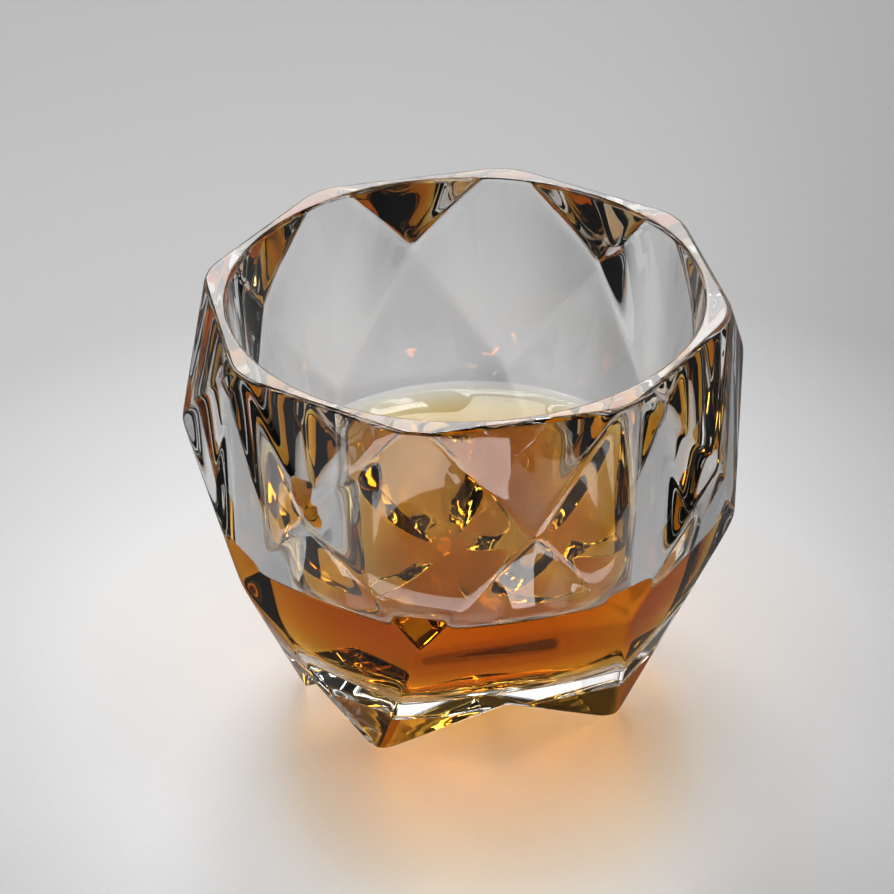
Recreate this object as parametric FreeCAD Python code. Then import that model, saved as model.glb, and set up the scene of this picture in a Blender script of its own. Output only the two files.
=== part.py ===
import FreeCAD, Part
import math
import os

os.makedirs("parts", exist_ok=True)

# Driving sizes, mm. The tumbler stands on z = 0 with its axis on Z.
height = 70.0
sides = 8

# Outer faces. Diamonds and the corners of the waist sit on the "corner" rays,
# the triangles between them on the "face" rays half a step away.
rim_point_r = 41.0        # axis to the blunted tip of each diamond at the rim
rim_flat_r = 38.6         # axis to the middle of each long rim edge
girdle_z = 54.0           # widest ring, where the rim triangles come down to a point
waist_r = 42.8            # axis to the lower tip of each diamond
waist_z = 32.3
foot_r = 27.6             # axis to the sharp tip of each foot, before the tip is ground
foot_grind = 1.2          # height ground off each foot tip to leave a flat pad

# Underside
arch_rise = 9.6           # top of the wide arches, front and back
notch_rise = 11.0         # top of the narrow notches between neighbouring feet
hollow_rise = 4.2         # where the planes under the glass would meet on the axis
dome_rise = 6.5           # top of the round dome pressed into the middle
dome_r = 25.0

# Inside
mouth_r = 36.8
cavity_waist_r = 32.2     # inside radius level with the waist
floor_z = 12.6
heel_r = 15.0             # rounding between the inside wall and the floor
lip_inner_round = 0.7
lip_outer_round = 0.5

# Drink
fill_z = 32.4
drink_gap = 0.1           # clearance between the drink and the bowl

step = 360.0 / sides
half = math.radians(step / 2.0)
lean = (waist_r - rim_point_r) / (height - waist_z)
girdle_r = (rim_point_r + lean * (height - girdle_z)) / math.cos(half)
tip_z = -foot_grind
arches = (270.0, 90.0)
near_zero = 1e-6


def at(radius, degrees, z):
    """Point at a radius and bearing from the axis."""
    a = math.radians(degrees)
    return FreeCAD.Vector(radius * math.cos(a), radius * math.sin(a), z)


def facet(*points):
    return Part.Face(Part.makePolygon(list(points) + [points[0]]))


def closed(faces):
    solid = Part.Solid(Part.makeShell(faces))
    if solid.Volume < 0:
        solid.reverse()
    return solid


def is_arch(degrees):
    return any(abs((degrees - a + 180.0) % 360.0 - 180.0) < near_zero for a in arches)


face_rays = [i * step for i in range(sides)]
foot_rays = [a for a in face_rays if not is_arch(a)]


def rim_tips(degrees):
    """Both ends of the short rim edge over the diamond on this corner ray."""
    side = (rim_flat_r - rim_point_r * math.cos(half)) / math.sin(half)
    mid = at(rim_point_r, degrees, height)
    along = at(side, degrees + 90.0, 0.0)
    return mid - along, mid + along


def outer_block():
    """Faceted outside, filled solid and with sharp foot tips below z = 0."""
    faces = []
    rim = []
    for a in face_rays:
        corner = a + step / 2.0
        low, high = rim_tips(corner)
        before = rim_tips(a - step / 2.0)[1]
        waist = at(waist_r, corner, waist_z)
        waist_before = at(waist_r, a - step / 2.0, waist_z)
        girdle = at(girdle_r, a, girdle_z)
        girdle_next = at(girdle_r, a + step, girdle_z)
        rim += [low, high]
        faces.append(facet(before, low, girdle))
        faces.append(facet(low, high, girdle_next, waist, girdle))
        faces.append(facet(girdle, waist, waist_before))
        if is_arch(a):
            left = at(foot_r, a - step, tip_z)
            right = at(foot_r, a + step, tip_z)
            faces.append(facet(waist_before, waist, right, left))
        else:
            foot = at(foot_r, a, tip_z)
            faces.append(facet(waist_before, waist, foot))
            if not is_arch(a + step):
                faces.append(facet(foot, waist, at(foot_r, a + step, tip_z)))
    faces.append(facet(*rim))
    faces.append(facet(*[at(foot_r, a, tip_z) for a in foot_rays]))
    return closed(faces)


def underside_cutter():
    """Everything below a fan of planes from the middle of the underside,
    down to each foot tip and up to the top of each arch and notch."""
    hub = FreeCAD.Vector(0.0, 0.0, hollow_rise)
    reach = 2.5    # carries the planes out past the foot tips
    ring = []
    for i, a in enumerate(foot_rays):
        following = foot_rays[(i + 1) % len(foot_rays)]
        gap = (following - a) % 360.0
        between = a + gap / 2.0
        ring.append(at(foot_r, a, tip_z))
        # The gap's top lies on the outside face that it breaks through.
        chord_r = foot_r * math.cos(math.radians(gap / 2.0))
        # An arch spans two steps and a notch one.
        if gap > 1.5 * step:
            face_top_r = waist_r * math.cos(half)
            rise = arch_rise
        else:
            face_top_r = waist_r
            rise = notch_rise
        slope = (face_top_r - chord_r) / (waist_z - tip_z)
        ring.append(at(chord_r + slope * (rise - tip_z), between, rise))
    far = [hub + (p - hub) * reach for p in ring]
    below = [FreeCAD.Vector(p.x, p.y, -height) for p in far]
    faces = []
    for i in range(len(far)):
        j = (i + 1) % len(far)
        faces.append(facet(hub, far[i], far[j]))
        faces.append(facet(far[i], below[i], below[j], far[j]))
    faces.append(facet(*below))
    return closed(faces)


def cavity_profile(top_z, shrink):
    """Half section of the inside up to top_z: floor, round heel and tapered
    wall, drawn inward by shrink."""
    taper = (mouth_r - cavity_waist_r) / (height - waist_z)
    angle = math.atan(taper)
    radius = heel_r - shrink
    wall = mouth_r - shrink / math.cos(angle)
    heel_z = floor_z + heel_r
    heel_x = wall - taper * (height - heel_z) - radius / math.cos(angle)
    floor_level = heel_z - radius
    meets = FreeCAD.Vector(
        heel_x + radius * math.cos(angle), 0.0, heel_z - radius * math.sin(angle)
    )
    half_turn = (math.pi / 2.0 + angle) / 2.0
    middle = FreeCAD.Vector(
        heel_x + radius * math.cos(half_turn), 0.0, heel_z - radius * math.sin(half_turn)
    )
    top = FreeCAD.Vector(wall - taper * (height - top_z), 0.0, top_z)
    centre = FreeCAD.Vector(0.0, 0.0, floor_level)
    heel = FreeCAD.Vector(heel_x, 0.0, floor_level)
    axis_top = FreeCAD.Vector(0.0, 0.0, top_z)
    edges = [
        Part.makeLine(centre, heel),
        Part.Arc(heel, middle, meets).toShape(),
        Part.makeLine(meets, top),
        Part.makeLine(top, axis_top),
        Part.makeLine(axis_top, centre),
    ]
    return Part.Face(Part.Wire(edges))


def turned(profile):
    return profile.revolve(
        FreeCAD.Vector(0, 0, 0), FreeCAD.Vector(0, 0, 1), 360.0
    )


def round_lip(glass):
    """Fire-polished lip: both edges of the rim rounded over."""
    inner = []
    outer = []
    for edge in glass.Edges:
        box = edge.BoundBox
        if box.ZMin < height - near_zero:
            continue
        if edge.Curve.TypeId == "Part::GeomCircle":
            inner.append(edge)
        else:
            outer.append(edge)
    glass = glass.makeFillet(lip_inner_round, inner)
    return glass.makeChamfer(lip_outer_round, [
        edge for edge in glass.Edges
        if edge.BoundBox.ZMin > height - near_zero
        and edge.Curve.TypeId == "Part::GeomLine"
    ])


def underside_dome():
    """Ball whose top rises to dome_rise over the middle of the underside."""
    return Part.makeSphere(dome_r, FreeCAD.Vector(0.0, 0.0, dome_rise - dome_r))


below_table = Part.makeBox(
    4.0 * waist_r, 4.0 * waist_r, height,
    FreeCAD.Vector(-2.0 * waist_r, -2.0 * waist_r, -height),
)
tumbler = outer_block().cut(underside_cutter()).cut(underside_dome()).cut(below_table)
tumbler = tumbler.cut(turned(cavity_profile(height, 0.0)))
tumbler = round_lip(tumbler)
whiskey = turned(cavity_profile(fill_z, drink_gap))

for name, shape in (("tumbler", tumbler), ("whiskey", whiskey)):
    solids = shape.Solids
    print(name, "solids", len(solids), "volume", round(shape.Volume, 1), shape.BoundBox)
    solids[0].exportStep("parts/" + name + ".step")
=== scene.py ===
import math

import bpy
import numpy as np
from mathutils import Matrix


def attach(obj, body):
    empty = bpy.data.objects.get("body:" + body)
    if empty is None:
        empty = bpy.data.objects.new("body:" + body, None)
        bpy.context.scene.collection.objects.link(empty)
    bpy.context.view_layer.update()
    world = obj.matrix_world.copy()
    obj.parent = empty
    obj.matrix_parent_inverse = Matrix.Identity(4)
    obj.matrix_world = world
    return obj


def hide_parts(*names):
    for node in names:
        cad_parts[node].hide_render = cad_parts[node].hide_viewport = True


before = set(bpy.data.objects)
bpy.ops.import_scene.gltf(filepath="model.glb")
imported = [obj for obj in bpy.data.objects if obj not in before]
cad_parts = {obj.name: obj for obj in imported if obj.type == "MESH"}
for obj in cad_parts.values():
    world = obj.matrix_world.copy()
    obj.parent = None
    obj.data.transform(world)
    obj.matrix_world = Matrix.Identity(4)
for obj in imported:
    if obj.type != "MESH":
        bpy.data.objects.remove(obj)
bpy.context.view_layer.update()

mm = 0.001
grazing = 1e-3    # planes closing in more slowly than this along a ray are out of reach
farAway = 1e3


# Shader maths as expressions. A wrapped socket adds its own Math nodes.

class Sock:
    def __init__(self, tree, socket):
        self.tree = tree
        self.socket = socket

    def math(self, operation, *others):
        inputs = {i: v for i, v in enumerate((self,) + others)}
        return self.tree.node("ShaderNodeMath", {"operation": operation}, inputs)[0]

    def __add__(self, other):
        return self.math("ADD", other)

    def __radd__(self, other):
        return self.math("ADD", other)

    def __sub__(self, other):
        return self.math("SUBTRACT", other)

    def __rsub__(self, other):
        return self.tree.number(other).math("SUBTRACT", self)

    def __mul__(self, other):
        return self.math("MULTIPLY", other)

    def __rmul__(self, other):
        return self.math("MULTIPLY", other)

    def __truediv__(self, other):
        return self.math("DIVIDE", other)

    def atLeast(self, other):
        return self.math("MAXIMUM", other)


class Tree:
    def __init__(self, nodeTree):
        self.nodeTree = nodeTree
        nodeTree.nodes.clear()

    def node(self, kind, settings=None, inputs=None):
        # Adds a node: its settings first, then values or links, and gives its outputs wrapped.
        made = self.nodeTree.nodes.new(kind)
        for name, value in (settings or {}).items():
            if name == "stops":
                for i, (place, colour) in enumerate(value):
                    spots = made.color_ramp.elements
                    spot = spots[i] if i < len(spots) else spots.new(place)
                    spot.position = place
                    spot.color = colour
            else:
                setattr(made, name, value)
        for name, value in (inputs or {}).items():
            if isinstance(value, Sock):
                self.nodeTree.links.new(value.socket, made.inputs[name])
            else:
                made.inputs[name].default_value = value
        return [Sock(self, s) for s in made.outputs]

    def number(self, value):
        return self.node("ShaderNodeMath", {"operation": "ADD"}, {0: value, 1: 0.0})[0]

    # Object coordinates, metres on a piece of the model
    def place(self):
        return self.node("ShaderNodeTexCoord")[3]

    # Direction of a ray that reaches the world
    def direction(self):
        return self.node("ShaderNodeTexCoord")[0]

    # Whether this is a camera, shadow, glossy or transmission ray, each 0 or 1
    def rays(self):
        ray = self.node("ShaderNodeLightPath")
        return ray[0], ray[1], ray[3], ray[6]

    def split(self, vector):
        return self.node("ShaderNodeSeparateXYZ", None, {0: vector})

    def noise(self, vector, scale, detail=2.0, roughness=0.5):
        return self.node("ShaderNodeTexNoise", None, {
            "Vector": vector, "Scale": scale, "Detail": detail, "Roughness": roughness})[0]

    def blend(self, factor, a, b):
        return self.node("ShaderNodeMix", {"data_type": "RGBA"}, {0: factor, 6: a, 7: b})[2]

    def lampsThrough(self, shader, tint):
        # Lets lamps shine straight through a clear piece, weaker at each face.
        shadowRay = self.rays()[1]
        clear = self.node("ShaderNodeBsdfTransparent", None, {0: tint})[0]
        return self.node("ShaderNodeMixShader", None, {0: shadowRay, 1: shader, 2: clear})[0]

    def bump(self, height, distance, strength=1.0):
        return self.node("ShaderNodeBump", None, {
            "Height": height, "Distance": distance, "Strength": strength})[0]


def newMaterial(name):
    made = bpy.data.materials.new(name)
    made.use_nodes = True
    return made, Tree(made.node_tree)


# Grids put into meshes

def gridFaces(rows, columns):
    # Quads between neighbouring rows of a grid that closes on itself round the axis.
    i = np.arange(rows - 1)[:, None] * columns
    j = np.arange(columns)[None, :]
    k = (j + 1) % columns
    return np.stack([i + j, i + k, i + k + columns, i + j + columns], axis=-1).reshape(-1, 4)


def revolvedPiece(name, r, z, bearing, startPole=None, endPole=None, wetted=None):
    # Rows of points at radius r and height z round the axis, first row to last. A pole closes
    # an end with a single point. Faces between rows marked wetted get the second material.
    rows, columns = r.shape
    points = np.stack([r * np.cos(bearing), r * np.sin(bearing), z], axis=-1).reshape(-1, 3)
    faces = gridFaces(rows, columns).tolist()
    j = np.arange(columns)
    k = (j + 1) % columns
    ends = []
    for pole, near, far, row in ((startPole, k, j, 0), (endPole, j, k, rows - 1)):
        if pole is not None:
            tip = np.full(columns, len(points))
            points = np.vstack([points, [[0.0, 0.0, pole]]])
            faces += np.stack([tip, row * columns + near, row * columns + far], axis=-1).tolist()
            ends.append(row)
    mesh = bpy.data.meshes.new(name)
    mesh.from_pydata((points * mm).tolist(), [], faces)
    mesh.shade_smooth()
    if wetted is not None:
        slots = np.concatenate([wetted[1:] & wetted[:-1], wetted[ends]])
        mesh.polygons.foreach_set("material_index", np.repeat(slots.astype(np.int32), columns))
    made = bpy.data.objects.new(name, mesh)
    bpy.context.scene.collection.objects.link(made)
    return made


def eased(count, pull):
    # Steps from 0 to 1 that crowd together at both ends, as a hyperbolic tangent does.
    t = np.linspace(-1.0, 1.0, count + 1)
    return 0.5 * (1.0 + np.tanh(pull * t) / math.tanh(pull))


def roundCorner(start, corner, end, count):
    # Quarter-round from start to end inside a square corner, as a circle arc of weight cos 45.
    t = np.linspace(0.0, 1.0, count + 1)
    w = math.sqrt(0.5)
    a, b, c = (1 - t) ** 2, 2 * w * t * (1 - t), t ** 2
    total = a + b + c
    return [(a * s + b * k + c * e) / total for s, k, e in zip(start, corner, end)]


# The glass: facets outside, a smooth round bowl inside

glass = {
    "height": 70.0,
    "rimPointR": 41.0,
    "rimFlatR": 38.6,
    "girdleZ": 54.0,
    "waistR": 42.8,
    "waistZ": 32.3,
    "footR": 27.6,
    "footGrind": 1.2,
    "archRise": 9.6,
    "notchRise": 11.0,
    "hollowRise": 4.2,       # where the fan of planes under the glass would meet on the axis
    "domeTop": 6.5,          # round dome pressed into the middle of the underside
    "domeR": 25.0,
    "archBearings": (90.0, 270.0),
    "mouthR": 36.8,
    "bowlWaistR": 32.2,
    "bowlFloorZ": 12.6,
    "heelR": 15.0,
    "lipOuter": 0.5,
    "lipInner": 0.7,
    "crispness": 3.8,        # higher gives sharper facet edges
    "middleZ": 34.0,         # every outside point is seen from here on the axis
    "columns": 24,           # per sixteenth of a turn
    "columnPull": 1.7,       # how strongly columns crowd towards the facet edges
    "rows": 16,              # per band between two facet edges
    "rowPull": 2.2,
    "leastBand": 0.012,      # smallest angle between two facet edges, radians
    "ridgeBlur": 1.0,        # degrees to each side over which ridges underneath are rounded
    "lipSteps": 8,
    "dryRows": 10,           # points down the wall over the drink
    "wetRows": 8,            # down the wall under its edge
    "heelRows": 26,
    "floorRows": 10,
}

drink = {
    "level": 32.4,
    "climb": 1.5,            # height that the edge climbs
    "climbReach": 1.7,       # how quickly it falls away from the wall
    "overlap": 0.06,         # into the glass, so that no air shows between them
    "skin": 0.04,            # surface skin over the body
    "columns": 160,
    "rows": 36,
    "rowPull": 2.6,
}

step = math.radians(45.0)
half = step / 2


def ringPoint(radius, bearing, z):
    # Points at a radius and bearing from the axis, one per row.
    bearing = np.asarray(bearing, dtype=float)
    return np.stack([radius * np.cos(bearing), radius * np.sin(bearing),
                     np.full_like(bearing, z)], axis=-1)


def planesThrough(p, q, r):
    # Unit normals and offsets of the planes through three rows of points, normals outward.
    normal = np.cross(q - p, r - p)
    normal /= np.linalg.norm(normal, axis=-1, keepdims=True)
    inside = np.array([0.0, 0.0, glass["middleZ"]])
    away = np.sign(np.sum(normal * (p - inside), axis=-1, keepdims=True))
    normal = normal * away
    return normal, np.sum(normal * p, axis=-1)


def glassPlanes():
    g = glass
    faceRays = np.arange(8) * step
    corners = faceRays + half
    arch = np.isin(np.round(np.degrees(faceRays), 3), g["archBearings"])
    lean = (g["waistR"] - g["rimPointR"]) / (g["height"] - g["waistZ"])
    girdleR = (g["rimPointR"] + lean * (g["height"] - g["girdleZ"])) / math.cos(half)
    halfEdge = (g["rimFlatR"] - g["rimPointR"] * math.cos(half)) / math.sin(half)
    tipZ = -g["footGrind"]
    rimMiddle = ringPoint(g["rimPointR"], corners, g["height"])
    along = ringPoint(halfEdge, corners + math.pi / 2, 0.0)
    tipBefore, tipAfter = rimMiddle - along, rimMiddle + along
    girdle = ringPoint(girdleR, faceRays, g["girdleZ"])
    waistNext = ringPoint(g["waistR"], corners, g["waistZ"])
    waistBack = np.roll(waistNext, 1, axis=0)
    foot = ringPoint(g["footR"], faceRays, tipZ)
    footNext = np.roll(foot, -1, axis=0)
    parts = [
        planesThrough(np.roll(tipAfter, 1, axis=0), tipBefore, girdle),   # triangles under the rim
        planesThrough(tipBefore, tipAfter, waistNext),                    # diamonds
        planesThrough(girdle, waistNext, waistBack),                      # triangles on the waist
        planesThrough(waistBack[~arch], waistNext[~arch], foot[~arch]),   # triangles over the feet
        planesThrough(waistBack[arch], waistNext[arch], footNext[arch]),  # wide faces over the arches
    ]
    pair = ~arch & ~np.roll(arch, -1)
    parts.append(planesThrough(foot[pair], footNext[pair], waistNext[pair]))
    normals = np.vstack([n for n, d in parts])
    offsets = np.concatenate([d for n, d in parts])
    shape = {"girdleR": girdleR, "tipBearing": half - math.atan2(halfEdge, g["rimPointR"]),
             "tipR": math.hypot(g["rimPointR"], halfEdge), "tipZ": tipZ, "arch": arch}
    return normals, offsets, shape


normals, offsets, shape = glassPlanes()


# Distance at which room is used up, closing in by so much per unit travelled
def distanceTo(room, closing):
    return np.where(closing > grazing, room / np.maximum(closing, grazing), farAway)


def softMin(values, crispness):
    # Smallest of the values along the last axis, rounded where two are close.
    least = values.min(axis=-1, keepdims=True)
    total = np.exp(-crispness * (values - least)).sum(axis=-1)
    return least[..., 0] - np.log(total) / crispness


def outerRadius(bearing, z):
    # Distance from the axis to the outside at a bearing and height.
    toward = normals[:, 0] * np.cos(bearing)[..., None] + normals[:, 1] * np.sin(bearing)[..., None]
    room = offsets - normals[:, 2] * np.asarray(z)[..., None]
    return softMin(distanceTo(room, toward), glass["crispness"])


def undersideSlope(bearing):
    # Rise per unit radius of the underside at a bearing. It is a fan of planes from the middle,
    # down to each foot tip and up to the top of each gap.
    g = glass
    faceRays = np.arange(8) * step
    feet = faceRays[~shape["arch"]]
    following = np.roll(feet, -1)
    gap = (following - feet) % (2 * math.pi)
    wide = gap > 1.5 * step
    chord = g["footR"] * np.cos(gap / 2)
    faceTop = np.where(wide, g["waistR"] * math.cos(half), g["waistR"])
    rise = np.where(wide, g["archRise"], g["notchRise"])
    lean = (faceTop - chord) / (g["waistZ"] - shape["tipZ"])
    ringBearing = np.stack([feet, feet + gap / 2], axis=-1).ravel()
    ringR = np.stack([np.full(6, g["footR"]), chord + lean * (rise - shape["tipZ"])], axis=-1).ravel()
    ringZ = np.stack([np.full(6, shape["tipZ"]), rise], axis=-1).ravel() - g["hollowRise"]
    turn = bearing % (2 * math.pi)
    i = np.searchsorted(ringBearing, turn, side="right") - 1
    j = (i + 1) % len(ringBearing)
    xi, yi, zi = ringR[i] * np.cos(ringBearing[i]), ringR[i] * np.sin(ringBearing[i]), ringZ[i]
    xj, yj, zj = ringR[j] * np.cos(ringBearing[j]), ringR[j] * np.sin(ringBearing[j]), ringZ[j]
    across = xi * yj - xj * yi
    a, b = (zi * yj - zj * yi) / across, (xi * zj - xj * zi) / across
    return a * np.cos(turn) + b * np.sin(turn)


def softSlope(bearing):
    # The same, with the ridges and valleys of the fan rounded by averaging over two degrees.
    around = np.radians(np.linspace(-glass["ridgeBlur"], glass["ridgeBlur"], 5))
    return np.mean([undersideSlope(bearing + a) for a in around], axis=0)


def outsideReach(bearing, elevation):
    # Distance from the middle to the outside along a bearing and elevation, the softened
    # smallest distance to any facet plane, the underside and the table.
    g = glass
    up, out = np.sin(elevation), np.cos(elevation)
    toward = (out * np.cos(bearing))[..., None] * normals[:, 0] \
        + (out * np.sin(bearing))[..., None] * normals[:, 1] + up[..., None] * normals[:, 2]
    room = offsets - normals[:, 2] * g["middleZ"]
    reach = distanceTo(room, toward)
    under = distanceTo(g["middleZ"] - g["hollowRise"], softSlope(bearing) * out - up)
    drop = g["middleZ"] - g["domeTop"] + g["domeR"]
    inside = (up * drop) ** 2 - drop ** 2 + g["domeR"] ** 2
    dome = np.where(inside > 0, -up * drop - np.sqrt(np.maximum(inside, 0)), farAway)
    table = distanceTo(g["middleZ"], -up)
    every = np.concatenate([reach, under[..., None], dome[..., None], table[..., None]], axis=-1)
    return softMin(every, g["crispness"])


def onSegment(fold, nearR, nearZ, farR, farZ, farBearing):
    # Elevation, from the middle, of a straight facet edge at folded bearings. It runs from
    # bearing 0 to farBearing.
    farX, farY = farR * math.cos(farBearing), farR * math.sin(farBearing)
    t = nearR * np.sin(fold) / (nearR * np.sin(fold) + farY * np.cos(fold) - farX * np.sin(fold))
    t = np.clip(t, 0.0, 1.0)
    x, y = nearR + t * (farX - nearR), t * farY
    return np.arctan2(nearZ + t * (farZ - nearZ) - glass["middleZ"], np.hypot(x, y))


def makeGlass():
    g = glass
    sweep = eased(g["columns"], g["columnPull"])[:-1]
    bearing = ((np.arange(16)[:, None] + sweep[None, :]) * half).ravel()
    fold = np.abs((bearing + half) % step - half)
    atArch = shape["arch"][np.round(bearing / step).astype(int) % 8]

    # Elevations of the facet edges that each bearing crosses, from the rim down
    topZ = g["height"] - g["lipOuter"]
    rim = np.arctan2(topZ - g["middleZ"], outerRadius(bearing, np.full_like(bearing, topZ)))
    underRim = onSegment(fold, shape["girdleR"], g["girdleZ"],
                         shape["tipR"], g["height"], shape["tipBearing"])
    overWaist = onSegment(fold, shape["girdleR"], g["girdleZ"], g["waistR"], g["waistZ"], half)
    waistEdge = np.arctan2(g["waistZ"] - g["middleZ"], g["waistR"] * math.cos(half) / np.cos(fold))
    overFoot = onSegment(fold, g["footR"], shape["tipZ"], g["waistR"], g["waistZ"], half)
    overFoot = np.where(atArch, waistEdge, overFoot)
    slope = softSlope(bearing)
    toward = normals[:, 0] * np.cos(bearing)[:, None] + normals[:, 1] * np.sin(bearing)[:, None]
    down = toward + normals[:, 2] * slope[:, None]
    meetR = distanceTo(offsets - normals[:, 2] * g["hollowRise"], down).min(axis=-1)
    meetZ = np.maximum(g["hollowRise"] + slope * meetR, 0.0)
    hem = np.arctan2(meetZ - g["middleZ"], outerRadius(bearing, meetZ))
    hub = np.full_like(bearing, -math.pi / 2)

    # No two edges closer than a small angle, so that every row of the grid stays in order
    edges = [rim, underRim, overWaist, waistEdge, overFoot, hem]
    for i in range(1, len(edges)):
        edges[i] = np.minimum(edges[i], edges[i - 1] - g["leastBand"])
    edges[-1] = hem
    for i in range(len(edges) - 2, 0, -1):
        edges[i] = np.maximum(edges[i], edges[i + 1] + g["leastBand"])
    edges.append(hub)

    rows = []
    for upper, lower in zip(edges[:-1], edges[1:]):
        t = eased(g["rows"], g["rowPull"])[:-1, None]
        rows.append(upper + t * (lower - upper))
    elevation = np.vstack(rows)
    reach = outsideReach(np.broadcast_to(bearing, elevation.shape), elevation)
    outR = reach * np.cos(elevation)
    outZ = g["middleZ"] + reach * np.sin(elevation)

    # Lip: a quarter-round outside, a flat, and a quarter-round inside
    ones = np.ones_like(bearing)
    wallTop = outerRadius(bearing, g["height"] * ones)[:, None]
    wallLow = outerRadius(bearing, topZ * ones)[:, None]
    outerLip = roundCorner((wallLow, topZ), (wallTop, g["height"]),
                           (wallTop - g["lipOuter"], g["height"]), g["lipSteps"])
    lipR = outerLip[0].T
    lipZ = (outerLip[1][None, :] * ones[:, None]).T
    innerLip = roundCorner((g["mouthR"] + g["lipInner"], g["height"]), (g["mouthR"], g["height"]),
                           (g["mouthR"] - bowlTaper() * g["lipInner"], g["height"] - g["lipInner"]),
                           g["lipSteps"])
    acrossT = np.linspace(0.0, 1.0, 5)[1:-1, None]
    flatR = lipR[-1] + acrossT * (innerLip[0][0] - lipR[-1])
    flatZ = np.full_like(flatR, g["height"])
    bowlR, bowlZ = bowlProfile(g["height"] - g["lipInner"], 0.0)
    insideR = np.concatenate([innerLip[0], bowlR[1:]])[:, None] * ones
    insideZ = np.concatenate([innerLip[1], bowlZ[1:]])[:, None] * ones

    # From the underside up the outside, over the lip and down the inside
    r = np.vstack([outR[::-1], lipR[1:], flatR, insideR])
    z = np.vstack([outZ[::-1], lipZ[1:], flatZ, insideZ])
    wetted = np.zeros(len(r), dtype=bool)
    wetted[len(r) - len(insideR):] = insideZ[:, 0] < drink["level"] + drink["climb"] + 1e-6
    return revolvedPiece("tumblerGlass", r, z, bearing, g["domeTop"], g["bowlFloorZ"], wetted)


# Radius lost per unit of depth down the straight wall of the bowl
def bowlTaper():
    g = glass
    return (g["mouthR"] - g["bowlWaistR"]) / (g["height"] - g["waistZ"])


def bowlProfile(topZ, grow):
    # Radius and height down the bowl from topZ: a straight taper, the round heel and the floor,
    # all moved outward by grow. One point lies where the drink ends and the last one stops short
    # of the axis.
    g = glass
    taper = bowlTaper()
    angle = math.atan(taper)
    radius = g["heelR"] + grow
    heelZ = g["bowlFloorZ"] + g["heelR"]
    wall = g["mouthR"] + grow / math.cos(angle)
    heelX = wall - taper * (g["height"] - heelZ) - radius / math.cos(angle)
    edgeZ = drink["level"] + drink["climb"]
    dry = np.linspace(topZ, edgeZ, g["dryRows"])[:-1] if topZ > edgeZ else np.zeros(0)
    wet = np.linspace(edgeZ, heelZ - radius * math.sin(angle), g["wetRows"])
    wallZ = np.concatenate([dry, wet])
    turn = np.linspace(angle, math.pi / 2, g["heelRows"])[1:]
    floorR = np.linspace(heelX, 0.0, g["floorRows"])[1:-1]
    r = np.concatenate([wall - taper * (g["height"] - wallZ), heelX + radius * np.cos(turn), floorR])
    z = np.concatenate([wallZ, heelZ - radius * np.sin(turn), np.full(len(floorR), heelZ - radius)])
    return r, z


tumblerGlass = makeGlass()
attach(tumblerGlass, "root")
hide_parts("tumbler")
print("glass:", len(tumblerGlass.data.polygons), "faces")


# The whiskey: it wets the bowl, so its edge climbs the wall

def makeDrink():
    # Turned profiles: the body is the bowl up to the edge of the drink, and its top falls off
    # exponentially from the wall to level. The surface is a skin of the same shape just over it.
    d = drink
    edgeZ = d["level"] + d["climb"]
    wallR, wallZ = bowlProfile(edgeZ, d["overlap"])
    inward = eased(d["rows"], d["rowPull"])[::-1]
    topR = (wallR[0] * inward)[:-1]
    topZ = d["level"] + d["climb"] * np.exp(-(wallR[0] - topR) / d["climbReach"])
    r = np.concatenate([wallR[::-1], topR[1:]])[:, None]
    z = np.concatenate([wallZ[::-1], topZ[1:]])[:, None]
    bearing = np.arange(d["columns"]) * 2 * math.pi / d["columns"]
    flat = 0 * bearing
    body = revolvedPiece("whiskeyDrink", r + flat, z + flat, bearing, wallZ[-1], d["level"])
    skin = revolvedPiece("whiskeySurface", topR[:, None] + flat, topZ[:, None] + d["skin"] + flat,
                         bearing, None, d["level"] + d["skin"])
    return body, skin


whiskeyDrink, whiskeySurface = makeDrink()
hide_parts("whiskey")
for piece in (whiskeyDrink, whiskeySurface):
    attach(piece, "root")
print("whiskey:", len(whiskeyDrink.data.polygons), "faces")


# Materials

glassLook = {
    "tint": (0.985, 0.99, 0.988, 1.0),
    "ior": 1.5,
    "lampTint": (0.74, 0.74, 0.74, 1.0),
    "waveScale": 45.0,
    "waveDepth": 0.00006,
    "padHeight": 0.0002,
    "padRoughness": 0.35,
    "gritScale": 9000.0,
    "gritSpread": 0.2,
}

drinkLook = {
    "ior": 1.36,
    "lampTint": (0.82, 0.73, 0.46, 1.0),
    "absorb": (0.959, 0.72, 0.0, 1.0),
    "density": 130.0,
    "rippleScale": 60.0,
    "rippleDepth": 0.00001,
}


def glassMaterial(name, ior):
    look = glassLook
    made, tree = newMaterial(name)
    place = tree.place()
    height = tree.split(place)[2]
    wave = tree.noise(place, look["waveScale"], 1.0)
    # The ground pads under the feet are frosted
    pad = tree.node("ShaderNodeMapRange", None, {
        0: height, 1: 0.5 * look["padHeight"], 2: look["padHeight"], 3: 1.0, 4: 0.0})[0]
    grit = tree.noise(place, look["gritScale"], 3.0)
    rough = pad * (look["padRoughness"] + look["gritSpread"] * (grit - 0.5))
    shader = tree.node("ShaderNodeBsdfPrincipled", None, {
        "Base Color": look["tint"], "Roughness": rough, "IOR": ior,
        "Transmission Weight": 1.0, "Normal": tree.bump(wave, look["waveDepth"])})[0]
    tree.node("ShaderNodeOutputMaterial", None, {"Surface": tree.lampsThrough(shader, look["lampTint"])})
    return made


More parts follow.
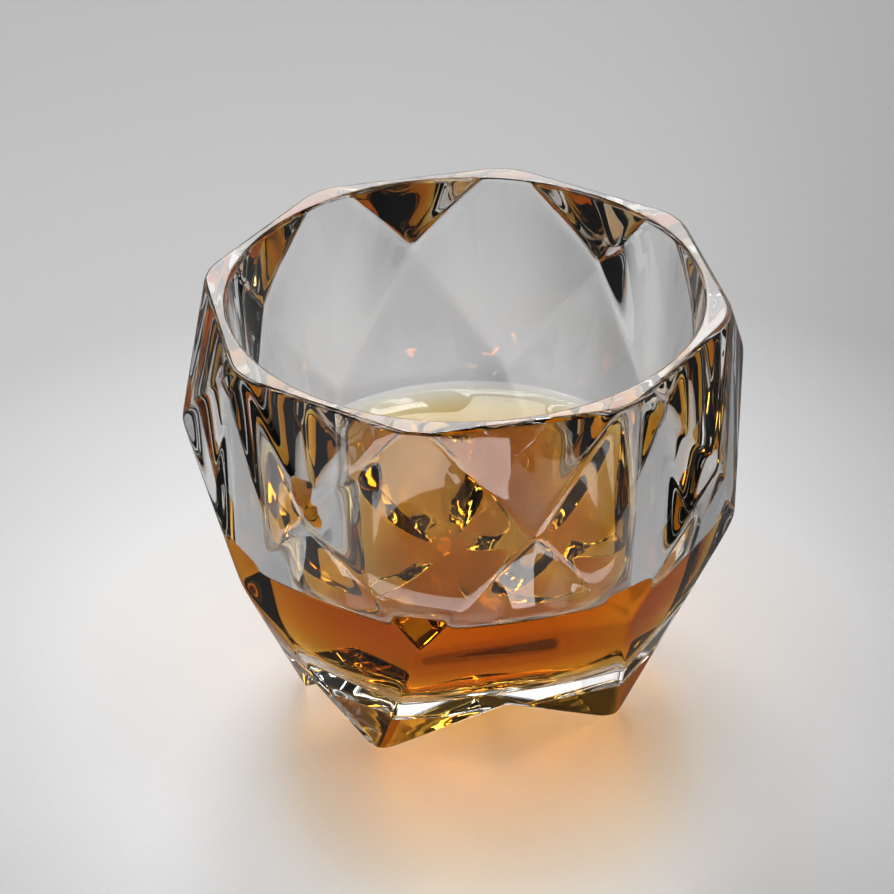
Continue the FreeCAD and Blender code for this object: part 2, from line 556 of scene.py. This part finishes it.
def drinkMaterial():
    # The body only takes up colour by depth. Its sides bend nothing.
    look = drinkLook
    made, tree = newMaterial("amberDrink")
    shader = tree.node("ShaderNodeBsdfPrincipled", None, {
        "Base Color": (1.0, 1.0, 1.0, 1.0), "Roughness": 0.0, "IOR": 1.0,
        "Transmission Weight": 1.0})[0]
    soak = tree.node("ShaderNodeVolumeAbsorption", None, {
        "Color": look["absorb"], "Density": look["density"]})[0]
    tree.node("ShaderNodeOutputMaterial", None, {
        "Surface": tree.lampsThrough(shader, look["lampTint"]), "Volume": soak})
    return made


def surfaceMaterial():
    look = drinkLook
    made, tree = newMaterial("drinkSurface")
    ripple = tree.noise(tree.place(), look["rippleScale"], 1.0)
    shader = tree.node("ShaderNodeBsdfPrincipled", None, {
        "Base Color": (1.0, 1.0, 1.0, 1.0), "Roughness": 0.0, "IOR": look["ior"],
        "Transmission Weight": 1.0, "Normal": tree.bump(ripple, look["rippleDepth"])})[0]
    tree.node("ShaderNodeOutputMaterial", None, {
        "Surface": tree.lampsThrough(shader, (1.0, 1.0, 1.0, 1.0))})
    return made


# Where the drink wets the bowl, light crosses from glass to drink with no air between, so the
# glass there bends it by the ratio of the two and the body of the drink not at all
tumblerGlass.data.materials.append(glassMaterial("clearGlass", glassLook["ior"]))
tumblerGlass.data.materials.append(glassMaterial("wettedGlass", glassLook["ior"] / drinkLook["ior"]))
whiskeyDrink.data.materials.append(drinkMaterial())
whiskeySurface.data.materials.append(surfaceMaterial())
print("materials done")


# Floor, lights and camera

studio = {
    "floorSize": 4.0,
    # Painted pool of light on the floor: pale near the glass, darker further out, a falloff of light
    # painted into its colour
    "paintedLightPool": ((0.0, (0.80, 0.80, 0.805, 1.0)), (0.11, (0.78, 0.78, 0.785, 1.0)),
                   (0.21, (0.47, 0.47, 0.475, 1.0)), (1.0, (0.40, 0.40, 0.405, 1.0))),
    "paintedPoolReach": 0.6,
    "floorHub": 0.02,
    "floorRings": 24,
    "floorSpokes": 96,
    "floorRoughness": 0.35,
    "grainScale": 900.0,
    "grainDepth": 0.0001,
    "grainStrength": 0.3,
    "glintDim": 0.85,        # share of the floor's tone kept out of reflections, unlike real light
    "throughDim": 0.25,      # and out of what shows through glass
    "worldLight": (0.15, 0.15, 0.152, 1.0),
    "bare": (0.78, 0.78, 0.785, 1.0),
    "bandBearing": 80.0,
    "bandBack": 1.3,
    "bandFront": 0.35,
    "band": ((0.00, (0.08, 0.08, 0.08, 1.0)), (0.05, (0.10, 0.10, 0.10, 1.0)),
             (0.09, (1.0, 1.0, 1.0, 1.0)), (0.17, (1.0, 1.0, 1.0, 1.0)),
             (0.26, (0.15, 0.15, 0.15, 1.0)), (0.38, (0.12, 0.12, 0.12, 1.0)),
             (0.50, (0.60, 0.60, 0.60, 1.0)), (0.62, (0.10, 0.10, 0.10, 1.0)),
             (0.80, (0.03, 0.03, 0.03, 1.0))),
    "lampAimZ": 0.03,
    "lamps": (
        # name, bearing, elevation, distance, width, height, watts
        ("backKey", 85.0, 52.0, 0.70, 0.16, 0.16, 1.5),
        ("backSoftbox", 86.0, 32.0, 0.80, 0.45, 0.26, 1.9),
        ("sideSoftbox", 185.0, 55.0, 0.80, 0.25, 0.25, 0.9),
        ("frontSoftbox", 330.0, 50.0, 0.80, 0.20, 0.20, 0.6),
    ),
}

view = {
    "bearing": 258.15,
    "elevation": 32.77,
    "distance": 0.5451,
    "aimRight": -0.00325,
    "aimZ": 0.04172,
    "roll": -0.017,
    "lens": 138.6,
    "sensor": 36.0,
}


def makeFloor():
    # A round floor, a fan of rings whose radius grows geometrically.
    spokes = studio["floorSpokes"]
    radius = np.geomspace(studio["floorHub"], studio["floorSize"], studio["floorRings"])[:, None] / mm
    bearing = np.arange(spokes) * 2 * math.pi / spokes
    flat = 0 * radius * bearing
    rows, columns = flat.shape
    x, y = radius * np.cos(bearing), radius * np.sin(bearing)
    points = np.vstack([np.stack([x, y, flat], axis=-1).reshape(-1, 3), [[0.0, 0.0, 0.0]]]) * mm
    j = np.arange(columns)
    cap = np.stack([np.full(columns, rows * columns), j, (j + 1) % columns], axis=-1)
    quads = gridFaces(rows, columns)[:, ::-1]
    mesh = bpy.data.meshes.new("floor")
    mesh.from_pydata(points.tolist(), [], quads.tolist() + cap.tolist())
    made = bpy.data.objects.new("floor", mesh)
    bpy.context.scene.collection.objects.link(made)
    look, tree = newMaterial("paleFloor")
    place = tree.place()
    grain = tree.noise(place, studio["grainScale"], 3.0)
    away = tree.node("ShaderNodeVectorMath", {"operation": "LENGTH"}, {0: place})[1]
    # Painted pool of light: the floor's colour is pale near the glass and darker with distance, standing
    # in for light falling off
    tone = tree.node("ShaderNodeValToRGB", {"stops": studio["paintedLightPool"]},
                     {0: away / studio["paintedPoolReach"]})[0]
    glossy, through = tree.rays()[2:]
    glint = glossy * (1 - through)
    dim = glint * studio["glintDim"] + through * studio["throughDim"]
    tone = tree.blend(dim, tone, (0.0, 0.0, 0.0, 1.0))
    shader = tree.node("ShaderNodeBsdfPrincipled", None, {
        "Base Color": tone, "Roughness": studio["floorRoughness"],
        "Normal": tree.bump(grain, studio["grainDepth"], studio["grainStrength"])})[0]
    tree.node("ShaderNodeOutputMaterial", None, {"Surface": shader})
    mesh.materials.append(look)


def makeLamp(name, bearing, elevation, distance, width, height, watts):
    lamp = bpy.data.lights.new(name, "AREA")
    lamp.shape = "RECTANGLE"
    lamp.size, lamp.size_y, lamp.energy = width, height, watts
    made = bpy.data.objects.new(name, lamp)
    bpy.context.scene.collection.objects.link(made)
    b, e = math.radians(bearing), math.radians(elevation)
    made.location = (distance * math.cos(e) * math.cos(b), distance * math.cos(e) * math.sin(b),
                     studio["lampAimZ"] + distance * math.sin(e))
    made.rotation_euler = (math.pi / 2 - e, 0.0, b + math.pi / 2)
    made.visible_camera = False


def makeWorld():
    # Dim light all round. Glass and reflections see two pale bands, a bright one just over the
    # horizon and a fainter one higher up, both brightest behind. The bare background is pale.
    world = bpy.data.worlds.new("studioWorld")
    world.use_nodes = True
    bpy.context.scene.world = world
    tree = Tree(world.node_tree)
    x, y, z = tree.split(tree.direction())
    behind = math.radians(studio["bandBearing"])
    along = x * math.cos(behind) + y * math.sin(behind)
    band = tree.node("ShaderNodeValToRGB", {"stops": studio["band"]}, {0: z})[0]
    level = studio["bandFront"] + (studio["bandBack"] - studio["bandFront"]) * (0.5 + 0.5 * along)
    camera, _, glossy, through = tree.rays()
    light = tree.node("ShaderNodeBackground", None, {"Color": studio["worldLight"], "Strength": 1.0})[0]
    glow = tree.node("ShaderNodeBackground", None, {"Color": band, "Strength": level})[0]
    bare = tree.node("ShaderNodeBackground", None, {"Color": studio["bare"], "Strength": 1.0})[0]
    shiny = tree.node("ShaderNodeMixShader", None, {0: glossy.atLeast(through), 1: light, 2: glow})[0]
    mixed = tree.node("ShaderNodeMixShader", None, {0: camera, 1: shiny, 2: bare})[0]
    tree.node("ShaderNodeOutputWorld", None, {"Surface": mixed})


def makeCamera():
    # Camera on a sphere round a point beside the axis, with a small roll.
    b, e = math.radians(view["bearing"]), math.radians(view["elevation"])
    away = np.array([math.cos(e) * math.cos(b), math.cos(e) * math.sin(b), math.sin(e)])
    right = np.array([-math.sin(b), math.cos(b), 0.0])
    up = np.cross(away, right)
    aim = view["aimRight"] * right + np.array([0.0, 0.0, view["aimZ"]])
    place = aim + view["distance"] * away
    c, s = math.cos(view["roll"]), math.sin(view["roll"])
    axes = np.stack([c * right + s * up, c * up - s * right, away], axis=-1)
    lens = bpy.data.cameras.new("camera")
    lens.lens, lens.sensor_width = view["lens"], view["sensor"]
    made = bpy.data.objects.new("camera", lens)
    bpy.context.scene.collection.objects.link(made)
    matrix = np.eye(4)
    matrix[:3, :3], matrix[:3, 3] = axes, place
    made.matrix_world = Matrix(matrix.tolist())
    bpy.context.scene.camera = made


makeFloor()
for lampRow in studio["lamps"]:
    makeLamp(*lampRow)
makeWorld()
makeCamera()
bpy.context.scene.view_settings.view_transform = "Standard"
print("floor, lamps, world and camera done")
